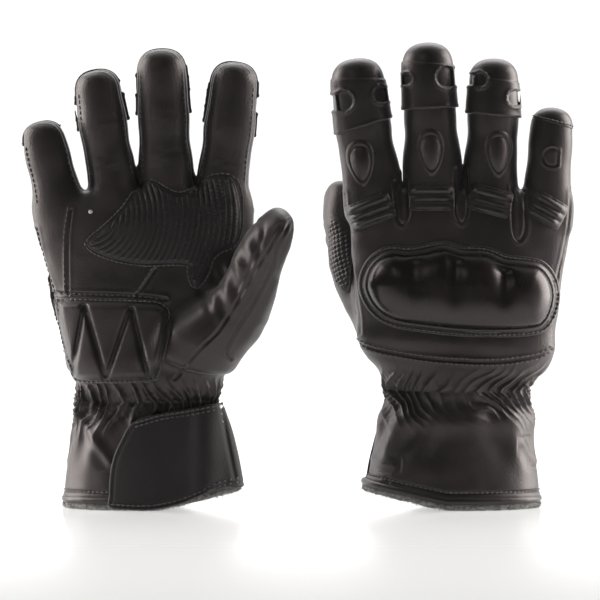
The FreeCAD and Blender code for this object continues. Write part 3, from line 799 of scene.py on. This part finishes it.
def build_grip(glove):
    """Raised blocks in curved rows, as on a textured grip."""
    def blocks(x, z, flat):
        u, v = x - GRIP_CENTRE[0], z - GRIP_CENTRE[1]
        row = np.hypot(u, v) / GRIP_ROW
        around = np.arctan2(v, u) * 62 + np.floor(row) % 2 * GRIP_BLOCK / 2
        rows, columns = np.abs(row % 1 - 0.5), np.abs(around / GRIP_BLOCK % 1 - 0.5)
        raised = step(0.44, 0.26, rows) * (0.4 + 0.6 * step(0.48, 0.3, columns))
        return 0.55 + 0.6 * raised * step(-1.2, -2, flat)

    panel(glove, "grip_patch", GRIP_OUTLINE, -1, blocks, GRIP, ["grip_patch"], round_by=0.5,
          cell=0.5, lumps=0)
    sew_plane(glove, grown(curve(GRIP_OUTLINE, closed=True), 1.0), -1, 2.6, 0.3, closed=True)


def build_pleats(glove):
    """Three padded ridges below the root of each finger, for stretch."""
    low, high = (-70, 2, 148), (66, 32, 190)
    x, y, z = grid_axes(low, high, PART_CELL)
    whole = None
    skin = glove.distance(x, y, z)
    for finger, (px, pz, lean) in PLEATS.items():
        angle = math.radians(lean)
        u = (x - px) * math.cos(angle) - (z - pz) * math.sin(angle)
        v = (x - px) * math.sin(angle) + (z - pz) * math.cos(angle)
        reach = glove.tubes[finger].rx - 1.5
        frame_edge = smooth_max(np.abs(u) - reach, np.abs(v) - 7.6, 2)
        proud = 1.8 if finger in ("index", "little") else 1.1
        height = 0.5 + proud * np.abs(np.cos(np.pi * v / 4.4)) ** 0.7 * step(reach, reach - 5, np.abs(u))
        field = smooth_max(skin - height, frame_edge, 1.2)
        whole = field if whole is None else np.minimum(whole, field)
    whole = np.maximum(whole, -0.6 - skin)
    build_part(glove, "stretch_pleats", np.maximum(whole, 2 - y), low, PART_CELL, LEATHER_SMOOTH,
               "hand", ["stretch_pleats"])


def build_armour(glove, finger):
    """The layer sewn over the back of a fingertip, thinned in a D at each side and beyond the D's bar."""
    tube = glove.tubes[finger]
    top = tube.point((0, 0, (tube.length + tube.middle) / 2))
    reach = np.array([tube.rx + 6, tube.ry + 5, (tube.length - tube.middle) / 2 + 6])
    low, high = top - reach, top + reach
    x, y, z = grid_axes(low, high, 0.5)
    tx, ty, s = tube.coords(x, y, z)
    skin = tube.distance(x, y, z)
    offset, slant = ARMOUR_HEM[finger]
    hem = tube.middle + offset + slant * tx
    window = np.full_like(skin, 20)
    for place, centre, size in WINDOWS[finger]:
        side = math.copysign(1, place)
        window = np.minimum(window, stitched_d(tx, s, place * tube.rx, centre, size, side))
        beyond = side * (tx - place * tube.rx) - 0.6 * size - STRIP
        window = np.minimum(window, np.maximum(np.abs(s - centre) - 0.75 * size, -beyond))
    rim = 0.4 * bell(window - 1.2, 0.8) + (0.1 if finger == "little" else 0.3) * bell(s - hem - 1.2, 0.9)
    second = 0.6 * step(0.4, -0.4, s - tube.length + 11 - 0.12 * tx) * step(-0.5, 1.5, ty)
    thick = 0.4 if finger == "little" else 0.85
    recess = (thick + rim + second - 0.3) * step(0.4, -0.4, window)
    field = smooth_max(skin - thick - rim - second + recess - 0.12 * noise(x, y, z, 7), hem - s, 0.6)
    field = smooth_max(field, 2 - ty, 0.6)
    field = np.maximum(field, -0.7 - skin)
    build_part(glove, f"{finger}_armour", field, low, 0.5, LEATHER_SMOOTH, f"{finger}_upper",
               [f"{finger}_armour"])
    sew_tube(glove, tube, [(a, tube.middle + offset + 1.8 + slant * tube.rx * math.sin(math.radians(a)))
                           for a in range(-70, 71, 5)], thick + 0.3)
    for place, centre, size in WINDOWS[finger]:
        side = math.copysign(1, place)
        line = [(place * tube.rx - side * (size + 1.2) * math.cos(t), centre + (size + 1.2) * math.sin(t))
                for t in np.linspace(-1.3, 1.3, 9)]
        turned = [(math.degrees(math.asin(np.clip(u / tube.rx, -1, 1))), v) for u, v in line]
        sew_tube(glove, tube, turned, 1.5)


def sew_tube(glove, tube, line, lift, pitch=2.5, zone=None):
    """Stitches along a line of angle from the back in degrees, and s, round a tube."""
    at = np.array(line, float)
    a = np.radians(at[:, 0])
    q = np.column_stack([tube.rx * np.sin(a), tube.ry * np.cos(a), at[:, 1]])
    p = even(tube.point(q), pitch)
    p, n = glove.settle(p)
    p = p + n * (glove.relief(p, n) * 0.3 + lift)[:, None]
    thread(glove, p, n, zone)


def build_dome(glove, finger):
    """The padded teardrop over a knuckle."""
    tube = glove.tubes[finger]
    centre = tube.point((DOMES[finger], 0, DOME_AT))
    reach = np.array([13, tube.ry + 7, 17])
    low, high = centre - reach, centre + reach
    x, y, z = grid_axes(low, high, 0.5)
    tx, ty, s = tube.coords(x, y, z)
    tx = tx - DOMES[finger]
    skin = glove.distance(x, y, z)
    v = s - DOME_AT
    drop = np.hypot(tx / (5.4 + 0.15 * v), v / 9.6)
    flat = (drop - 1) * 5.4
    height = 0.5 + 2.3 * np.clip(1 - drop**2, 0, 1) ** 0.6 + 0.6 * bell(flat - 0.9, 0.7)
    field = smooth_max(skin - height, flat - 2.2, 0.8)
    field = np.maximum(np.maximum(field, -0.6 - skin), -ty)
    build_part(glove, f"{finger}_knuckle_dome", field, low, 0.5, LEATHER, f"{finger}_lower")


def build_thumb_grip(glove):
    """The textured patch on the back of the thumb, on its outer side."""
    tube = glove.tubes["thumb"]
    centre = tube.point((-tube.rx / 2, tube.ry / 2, 4))
    low, high = centre - 34, centre + 34
    x, y, z = grid_axes(low, high, 0.5)
    tx, ty, s = tube.coords(x, y, z)
    skin = glove.distance(x, y, z)
    edge = (np.hypot((tx + 0.5 * tube.rx) / 7.5, (s - 2) / 24) - 1) * 7.5
    raised = step(0.46, 0.3, np.abs(s / 2.6 % 1 - 0.5)) * step(0.46, 0.34, np.abs((tx + 1.6) / 2.0 % 1 - 0.5))
    field = smooth_max(skin - 0.5 - 0.5 * raised * step(-0.8, -1.6, edge), edge, 0.5)
    field = np.maximum(np.maximum(field, -0.6 - skin), 2 - ty)
    build_part(glove, "thumb_grip", field, low, 0.5, GRIP, "thumb")


def cone_distance(glove, x, y, z):
    """The cuff carried on straight above its gathers, for what lies over them."""
    bend = np.minimum(z, 44)
    cx, rx, ry = glove.ring(bend)
    over = np.maximum(z - 44, 0)
    rx, ry = rx - 0.26 * over, ry - 0.22 * over
    k = np.hypot((x - cx) / rx, y / ry) + 1e-4
    slope = np.hypot((x - cx) / rx**2, y / ry**2) / k + 1e-4
    return (k - 1) / slope


def build_closure(glove):
    """The closure flap with its two stitched rows, and the hook and loop patches under it."""
    low, high = (-30, -48, -1), (62, 3, 66)
    x, y, z = grid_axes(low, high, PART_CELL)
    cuff = cone_distance(glove, x, y, z)
    ring = curve(FLAP_OUTLINE, closed=True, pieces=5)
    flat = outline_distance(x[:, :, 0], z[0], ring)[:, None, :]
    soft = 0.35 * noise(x, y, z, 16, 5.1)
    crease = line_distance(x[:, :, 0], z[0], curve(FLAP_CREASE))[:, None, :]
    hug = HUG[glove.name] * step(30, 50, x)  # towards the side seam it lies closer to the cuff
    folds = soft + 0.5 * step(14, 30, x) * np.sin(x / 2.4 + 0.4 * soft)
    grooves = 0.4 * bell(flat + 2.4, 0.7) + 0.9 * bell(crease, 1.3)
    field = smooth_max(cuff - 4.3 + hug - folds + grooves, flat, 0.9)
    field = np.maximum(np.maximum(field, np.maximum(2.5 - hug, 0.1) + soft * 0.4 - cuff), y + 0.4)
    build_part(glove, "closure_flap", field, low, PART_CELL, FLAP, "flap", ["closure_flap"])
    for line in FLAP_ROWS:
        for shift in (0, 2.2):
            at = even(curve([(u, v - shift) for u, v in line]), 2.8)
            p, n = cone_settle(glove, at, 4.4 - HUG[glove.name] * step(30, 50, at[:, 0]))
            keep = p[:, 1] < -2
            thread(glove, p[keep], n[keep], "flap")
    for name, gap, thick, zone, material in (("loop", 0.1, 1.0, "cuff", LOOP),
                                             ("hook", 1.4, 0.9, "flap", HOOK)):
        x_from, x_to, z_from, z_to = TAPE_PATCHES[name]
        edge = smooth_max(np.abs(x - (x_from + x_to) / 2) - (x_to - x_from) / 2,
                          np.abs(z - (z_from + z_to) / 2) - (z_to - z_from) / 2, 2)
        field = smooth_max(cuff - gap - thick, edge, 0.4)
        field = np.maximum(np.maximum(field, gap - 0.6 * (name == "loop") - cuff), y)
        build_part(glove, f"{name}_patch", field, low, PART_CELL, material, zone,
                   [f"{name}_patch"])


def cone_settle(glove, at, height):
    cx, rx, ry = glove.ring(np.minimum(at[:, 1], 44))
    depth = -ry * np.sqrt(np.clip(1 - ((at[:, 0] - cx) / rx) ** 2, 0, 1)) - height
    p = np.column_stack([at[:, 0], depth, at[:, 1]])
    for _ in range(8):
        d = cone_distance(glove, p[:, 0], p[:, 1], p[:, 2])
        n = np.column_stack([(p[:, 0] - cx) / rx**2, p[:, 1] / ry**2, np.zeros(len(p))])
        n /= np.linalg.norm(n, axis=1)[:, None]
        p = p - n * (d - height)[:, None]
    return p, n


def build_hem(glove):
    """The rolled leather edge, and under it the fleece of the lining with its fibres."""
    turns = np.linspace(0, 2 * np.pi, HEM_STEPS, endpoint=False)
    around = np.linspace(0, 2 * np.pi, HEM_SIDES, endpoint=False)
    cx, rx, ry = glove.ring(np.full(HEM_STEPS, 4.0))
    ring = np.column_stack([cx + rx * np.cos(turns), ry * np.sin(turns)])
    out = np.column_stack([np.cos(turns) / rx, np.sin(turns) / ry])
    out /= np.linalg.norm(out, axis=1)[:, None]
    base = hem_at(ring[:, 0])

    def roll(name, inset, height, wide, tall, rough, material, slot, nodes):
        points = []
        for i in range(HEM_STEPS):
            for a in around:
                swell = 1 + rough * noise(ring[i, 0], ring[i, 1], a * 3, 2.4)
                across = -inset + wide * swell * math.cos(a)
                up = base[i] + height + tall * swell * math.sin(a)
                points.append((*(ring[i] + out[i] * across), max(up, 0.1)))
        faces = []
        for i in range(HEM_STEPS):
            here, there = i * HEM_SIDES, (i + 1) % HEM_STEPS * HEM_SIDES
            for k in range(HEM_SIDES):
                turn = (k + 1) % HEM_SIDES
                faces.append((here + k, there + k, there + turn, here + turn))
        made = new_object(f"{glove.name}_{name}", np.array(points), faces, material, glove)
        if nodes:
            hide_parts(*nodes)
        glove.attach(made, "cuff")

    roll("hem_roll", 0.9, HEM_HEIGHT - 0.6, 1.9, 2.0, 0.06, LEATHER_SMOOTH, "cuff_leather", [])
    roll("hem_fleece", 2.2, 2.3, 2.1, 2.1, 0.22, FLEECE, "hem_fleece", [f"{glove.name}_hem_binding"])
    build_fibres(glove, ring, out, base)


def build_fibres(glove, ring, out, base):
    random = np.random.RandomState(11)
    points, faces = [], []
    for _ in range(FIBRES):
        i = random.randint(HEM_STEPS)
        a = random.uniform(-2.2, 0.7)
        root = np.array([*(ring[i] + out[i] * (-2.2 + 1.9 * math.cos(a))), base[i] + 2.3 + 1.9 * math.sin(a)])
        way = np.array([*(out[i] * math.cos(a)), math.sin(a)]) + random.normal(0, 0.5, 3)
        way *= random.uniform(0.9, 2.3) / np.linalg.norm(way)
        tip = root + way
        tip[2] = max(tip[2], 0.15)
        across = np.cross(way, random.normal(0, 1, 3))
        across *= 0.09 / max(np.linalg.norm(across), 1e-6)
        faces.append((len(points), len(points) + 1, len(points) + 2))
        points += [root - across, root + across, tip]
    made = new_object(f"{glove.name}_hem_fibres", np.array(points), faces, FLEECE, glove)
    glove.attach(made, "cuff")


def build_lining(glove):
    """The soft inner sleeve, from the hem to the roots of the fingers."""
    low, high, cell = (-66, -36, -2), (60, 36, 176), 2.0
    x, y, z = grid_axes(low, high, cell)
    folds = 0.5 * noise(x, y, z, 9, 8.8)
    field = glove.hand_distance(x, y, z) + 2.9 + folds
    field = smooth_max(field, z - 168, 8)
    points, quads = extract(field, low, cell)
    points, quads = subdivided(points, quads)
    middle = points[quads].mean(1)
    keep = middle[:, 2] > hem_at(middle[:, 0]) + 2.5
    zones = np.where(middle[:, 2] < WRIST_BLEND[0] - 2, "cuff", "wrist").astype("U8")
    zones[middle[:, 2] > WRIST_BLEND[1] + 1] = "hand"
    for zone, nodes in {"cuff": ["cuff_lining"], "wrist": ["wrist_elastic"], "hand": ["hand_lining"]}.items():
        p, f = picked(points, quads, keep & (zones == zone))
        made = new_object(f"{glove.name}_lining_{zone}", p, f, LINING, glove)
        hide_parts(*(f"{glove.name}_{node}" for node in nodes))
        glove.attach(made, zone)


def sew_all(glove):
    """The visible rows of stitches that belong to no one piece."""
    for line in PALM_SEAMS[:4]:
        sew_plane(glove, curve([(x - 1.9, z) for x, z in line]), -1, 3.0, 0.3)
    for shift in (1.6, -1.6):
        sew_plane(glove, curve([(x, z + shift) for x, z in BACK_SEAMS[0]]), 1, 2.8, 0.3)
    at = np.linspace(0, 2 * np.pi, 240)
    cx, rx, ry = glove.ring(np.full(240, 14.0))
    x = cx + rx * np.cos(at)
    hem = even(np.column_stack([x, ry * np.sin(at), hem_at(x) + HEM_HEIGHT + 4.2]), 2.8)
    p, n = glove.settle(hem)
    thread(glove, p + n * 0.35, n, "cuff")
    for name, tube in glove.tubes.items():
        if name == "thumb":
            continue
        top = tube.length - tube.rx
        for angle in (-123, 123):
            sew_tube(glove, tube, [(angle, s) for s in np.arange(-6, top, 2)], 0.15, 3.0)


def build_stud(glove):
    """The small light dot by the root of the little finger, on the palm."""
    p, n = glove.settle([(-33.6, -20, 167.4)])
    rings, points, faces = [(1.25, 0), (1.15, 0.5), (0.6, 0.8), (0.1, 0.85)], [], []
    across = np.cross(n[0], (0, 0, 1))
    up = np.cross(across, n[0])
    for radius, height in rings:
        for a in np.linspace(0, 2 * np.pi, STUD_SIDES, endpoint=False):
            points.append(p[0] + radius * (across * math.cos(a) + up * math.sin(a)) + n[0] * (height + 0.1))
    for low in range(0, STUD_SIDES * (len(rings) - 1), STUD_SIDES):
        high = low + STUD_SIDES
        for k in range(STUD_SIDES):
            turn = (k + 1) % STUD_SIDES
            faces.append((low + k, low + turn, high + turn, high + k))
    stud = new_object(f"{glove.name}_stud", np.array(points), faces, STUD, glove)
    glove.attach(stud, "hand")


# ---------------------------------------------------------------- materials

def shader(name, colour, roughness, **sockets):
    """A material with a Principled surface, and its node tree's parts."""
    made = bpy.data.materials.new(name)
    made.use_nodes = True
    nodes, links = made.node_tree.nodes, made.node_tree.links
    surface = nodes["Principled BSDF"]
    surface.inputs["Base Color"].default_value = (*colour, 1)
    surface.inputs["Roughness"].default_value = roughness
    for socket, value in sockets.items():
        surface.inputs[socket.replace("_", " ")].default_value = value
    return made, nodes, links, surface


def texture(nodes, links, kind, scale, place, **settings):
    node = nodes.new(kind)
    node.inputs["Scale"].default_value = scale
    for socket, value in settings.items():
        node.inputs[socket].default_value = value
    links.new(place.outputs["Object"], node.inputs["Vector"])
    return node


def ramp(nodes, links, source, stops):
    node = nodes.new("ShaderNodeValToRGB")
    elements = node.color_ramp.elements
    while len(elements) < len(stops):
        elements.new(0.5)
    for element, (at, colour) in zip(elements, stops):
        element.position = at
        element.color = (*colour, 1)
    links.new(source, node.inputs["Fac"])
    return node


LEATHER_GLOSS = (1, 0.88, 0.92, 1)  # the warm tint of its shine


def bumped(nodes, links, height, surface, strength, depth):
    bump = nodes.new("ShaderNodeBump")
    bump.inputs["Strength"].default_value = strength
    bump.inputs["Distance"].default_value = depth
    links.new(height, bump.inputs["Height"])
    links.new(bump.outputs["Normal"], surface.inputs["Normal"])


def leather(name, dark, light, rough, grain=1500, strength=0.35, sheen=0.25):
    """Grained leather: a cell pattern for the pores, and slow changes of shade and gloss."""
    made, nodes, links, surface = shader(name, dark, rough, Specular_IOR_Level=0.55, Sheen_Weight=sheen,
                                         Specular_Tint=LEATHER_GLOSS, Sheen_Roughness=0.45)
    place = nodes.new("ShaderNodeTexCoord")
    pores = texture(nodes, links, "ShaderNodeTexVoronoi", grain, place)
    cloud = texture(nodes, links, "ShaderNodeTexNoise", 45, place, Detail=5.0)
    fine = texture(nodes, links, "ShaderNodeTexNoise", 900, place, Detail=3.0)
    shade = ramp(nodes, links, cloud.outputs["Fac"], [(0.35, dark), (0.7, light)])
    links.new(shade.outputs["Color"], surface.inputs["Base Color"])
    gloss = ramp(nodes, links, cloud.outputs["Fac"], [(0.3, (rough - 0.07,) * 3), (0.75, (rough + 0.1,) * 3)])
    links.new(gloss.outputs["Color"], surface.inputs["Roughness"])
    mix = nodes.new("ShaderNodeMath")
    mix.operation = "ADD"
    links.new(pores.outputs["Distance"], mix.inputs[0])
    links.new(fine.outputs["Fac"], mix.inputs[1])
    bumped(nodes, links, mix.outputs[0], surface, strength, 0.0002)
    return made


def cloth(name, colour, light, scale, rough=0.9, strength=0.6):
    """Fibrous cloth: a fine noise for its shade and its bump, with a soft sheen."""
    made, nodes, links, surface = shader(name, colour, rough, Sheen_Weight=0.6, Sheen_Roughness=0.5)
    place = nodes.new("ShaderNodeTexCoord")
    strands = texture(nodes, links, "ShaderNodeTexNoise", scale, place, Detail=6.0)
    shade = ramp(nodes, links, strands.outputs["Fac"], [(0.35, colour), (0.65, light)])
    links.new(shade.outputs["Color"], surface.inputs["Base Color"])
    bumped(nodes, links, strands.outputs["Fac"], surface, strength, 0.0004)
    return made


LEATHER = leather("soft_leather", (0.012, 0.0095, 0.0095), (0.022, 0.018, 0.0165), 0.40)
LEATHER_SMOOTH = leather("smooth_leather", (0.011, 0.009, 0.009), (0.019, 0.016, 0.015), 0.34, 1900, 0.22)
FLAP = leather("matte_leather", (0.008, 0.008, 0.0085), (0.013, 0.0125, 0.013), 0.62, 1300, 0.5, 0.1)
SHELL = leather("moulded_shell", (0.010, 0.0085, 0.008), (0.015, 0.012, 0.011), 0.27, 2600, 0.06, 0.0)
GRIP = leather("grip_rubber", (0.009, 0.009, 0.009), (0.016, 0.0155, 0.015), 0.42, 2200, 0.3, 0.05)
FOAM = cloth("foam", (0.04, 0.04, 0.04), (0.08, 0.08, 0.08), 900)
LINING = cloth("brushed_lining", (0.035, 0.035, 0.04), (0.09, 0.09, 0.10), 700)
FLEECE = cloth("fleece", (0.10, 0.095, 0.09), (0.30, 0.29, 0.27), 600)
LOOP = cloth("loop_tape", (0.015, 0.015, 0.015), (0.05, 0.05, 0.05), 1100)
HOOK = cloth("hook_tape", (0.012, 0.012, 0.012), (0.03, 0.03, 0.03), 1600, 0.6)
THREAD = cloth("thread", (0.022, 0.019, 0.018), (0.05, 0.043, 0.04), 2400, 0.55, 0.4)
STUD = shader("stud", (0.55, 0.55, 0.55), 0.3, Specular_IOR_Level=0.6)[0]


# ---------------------------------------------------------------- the studio

def emitter(name, place, aim, size, energy, colour=(1, 1, 1)):
    data = bpy.data.lights.new(name, "AREA")
    data.shape, data.size, data.size_y = "RECTANGLE", size[0], size[1]
    data.energy, data.color = energy, colour
    made = bpy.data.objects.new(name, data)
    made.location = place
    made.rotation_euler = (Vector(aim) - Vector(place)).to_track_quat("-Z", "Y").to_euler()
    bpy.context.scene.collection.objects.link(made)
    made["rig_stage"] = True


def plane(name, corners, material):
    mesh = bpy.data.meshes.new(name)
    mesh.from_pydata(corners, [], [(0, 1, 2, 3)])
    mesh.materials.append(material)
    made = bpy.data.objects.new(name, mesh)
    bpy.context.scene.collection.objects.link(made)
    made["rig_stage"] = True


def build_world():
    """A surround that is white behind the gloves and dim behind the camera, so that edges catch the light."""
    world = bpy.data.worlds.new("studio")
    bpy.context.scene.world = world
    world.use_nodes = True
    nodes, links = world.node_tree.nodes, world.node_tree.links
    place, parts = nodes.new("ShaderNodeTexCoord"), nodes.new("ShaderNodeSeparateXYZ")
    links.new(place.outputs["Generated"], parts.inputs[0])
    spread = nodes.new("ShaderNodeMapRange")
    spread.inputs["From Min"].default_value, spread.inputs["From Max"].default_value = -0.3, 0.5
    spread.inputs["To Min"].default_value, spread.inputs["To Max"].default_value = DIM, BRIGHT
    links.new(parts.outputs["Y"], spread.inputs["Value"])
    links.new(spread.outputs[0], nodes["Background"].inputs["Strength"])
    nodes["Background"].inputs["Color"].default_value = (1, 1, 1, 1)


def build_studio():
    floor, nodes, links, surface = shader("floor", (0.5, 0.5, 0.5), 0.2, Specular_IOR_Level=0.3)
    surface.inputs["Emission Color"].default_value = (1, 1, 1, 1)
    place, parts = nodes.new("ShaderNodeNewGeometry"), nodes.new("ShaderNodeSeparateXYZ")
    links.new(place.outputs["Position"], parts.inputs[0])
    # Towards the camera the floor glows less and its reflections blur away.
    for socket, near, far in (("Emission Strength", 0.15, 0.5), ("Roughness", 0.5, 0.12)):
        change = nodes.new("ShaderNodeMapRange")
        for end, value in {"From Min": -0.55, "From Max": -0.05, "To Min": near, "To Max": far}.items():
            change.inputs[end].default_value = value
        links.new(parts.outputs["Y"], change.inputs["Value"])
        links.new(change.outputs[0], surface.inputs[socket])
    plane("floor", [(-6, -6, 0), (6, -6, 0), (6, 6, 0), (-6, 6, 0)], floor)
    build_world()
    middle = (0, 0, 0.12)
    warm = (1, 0.97, 0.9)
    emitter("rim_left", (-1.0, 0.2, 0.35), middle, (0.7, 1.1), 16, warm)
    emitter("rim_right", (1.0, 0.2, 0.35), middle, (0.7, 1.1), 18, warm)
    emitter("top_back", (0, 0.9, 1.5), (0, -0.3, 0), (2.4, 1.0), 20)
    emitter("key", (-0.5, -1.1, 1.0), middle, (0.6, 0.4), 0.6, (1, 0.95, 0.9))
    data = bpy.data.cameras.new("camera")
    camera = bpy.data.objects.new("camera", data)
    distance, lean = VIEW_DISTANCE, math.radians(VIEW_LEAN)
    aim = Vector((0.0015, 0, 0.1165))
    camera.location = aim + Vector((0, -distance * math.cos(lean), distance * math.sin(lean)))
    camera.rotation_euler = (aim - camera.location).to_track_quat("-Z", "Y").to_euler()
    data.sensor_width, data.lens = 36, 36 * distance / VIEW_WIDTH
    bpy.context.scene.collection.objects.link(camera)
    bpy.context.scene.camera = camera
    bpy.context.scene.view_settings.view_transform = "Standard"


def build_glove(name):
    glove = Glove(name)
    build_skin(glove)
    build_knuckle_guard(glove)
    build_heel_pad(glove)
    build_grip(glove)
    build_pleats(glove)
    for finger in FINGERS:
        build_armour(glove, finger)
        if finger in DOMES:
            build_dome(glove, finger)
    build_thumb_grip(glove)
    build_closure(glove)
    build_hem(glove)
    build_lining(glove)
    build_stud(glove)
    sew_all(glove)
    build_threads(glove)


def visual_box():
    corners = []
    for o in bpy.data.objects:
        if o.type == "MESH" and not o.hide_render and not o.get("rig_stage"):
            corners += [o.matrix_world @ Vector(c) for c in o.bound_box]
    spots = np.array(corners)
    return [spots.min(0).tolist(), spots.max(0).tolist()]


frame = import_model()
cad_box = [list(corner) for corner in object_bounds()]
for glove_name in GLOVES:
    build_glove(glove_name)
build_studio()
bpy.context.view_layer.update()
{"cad": cad_box, "visual": visual_box()}
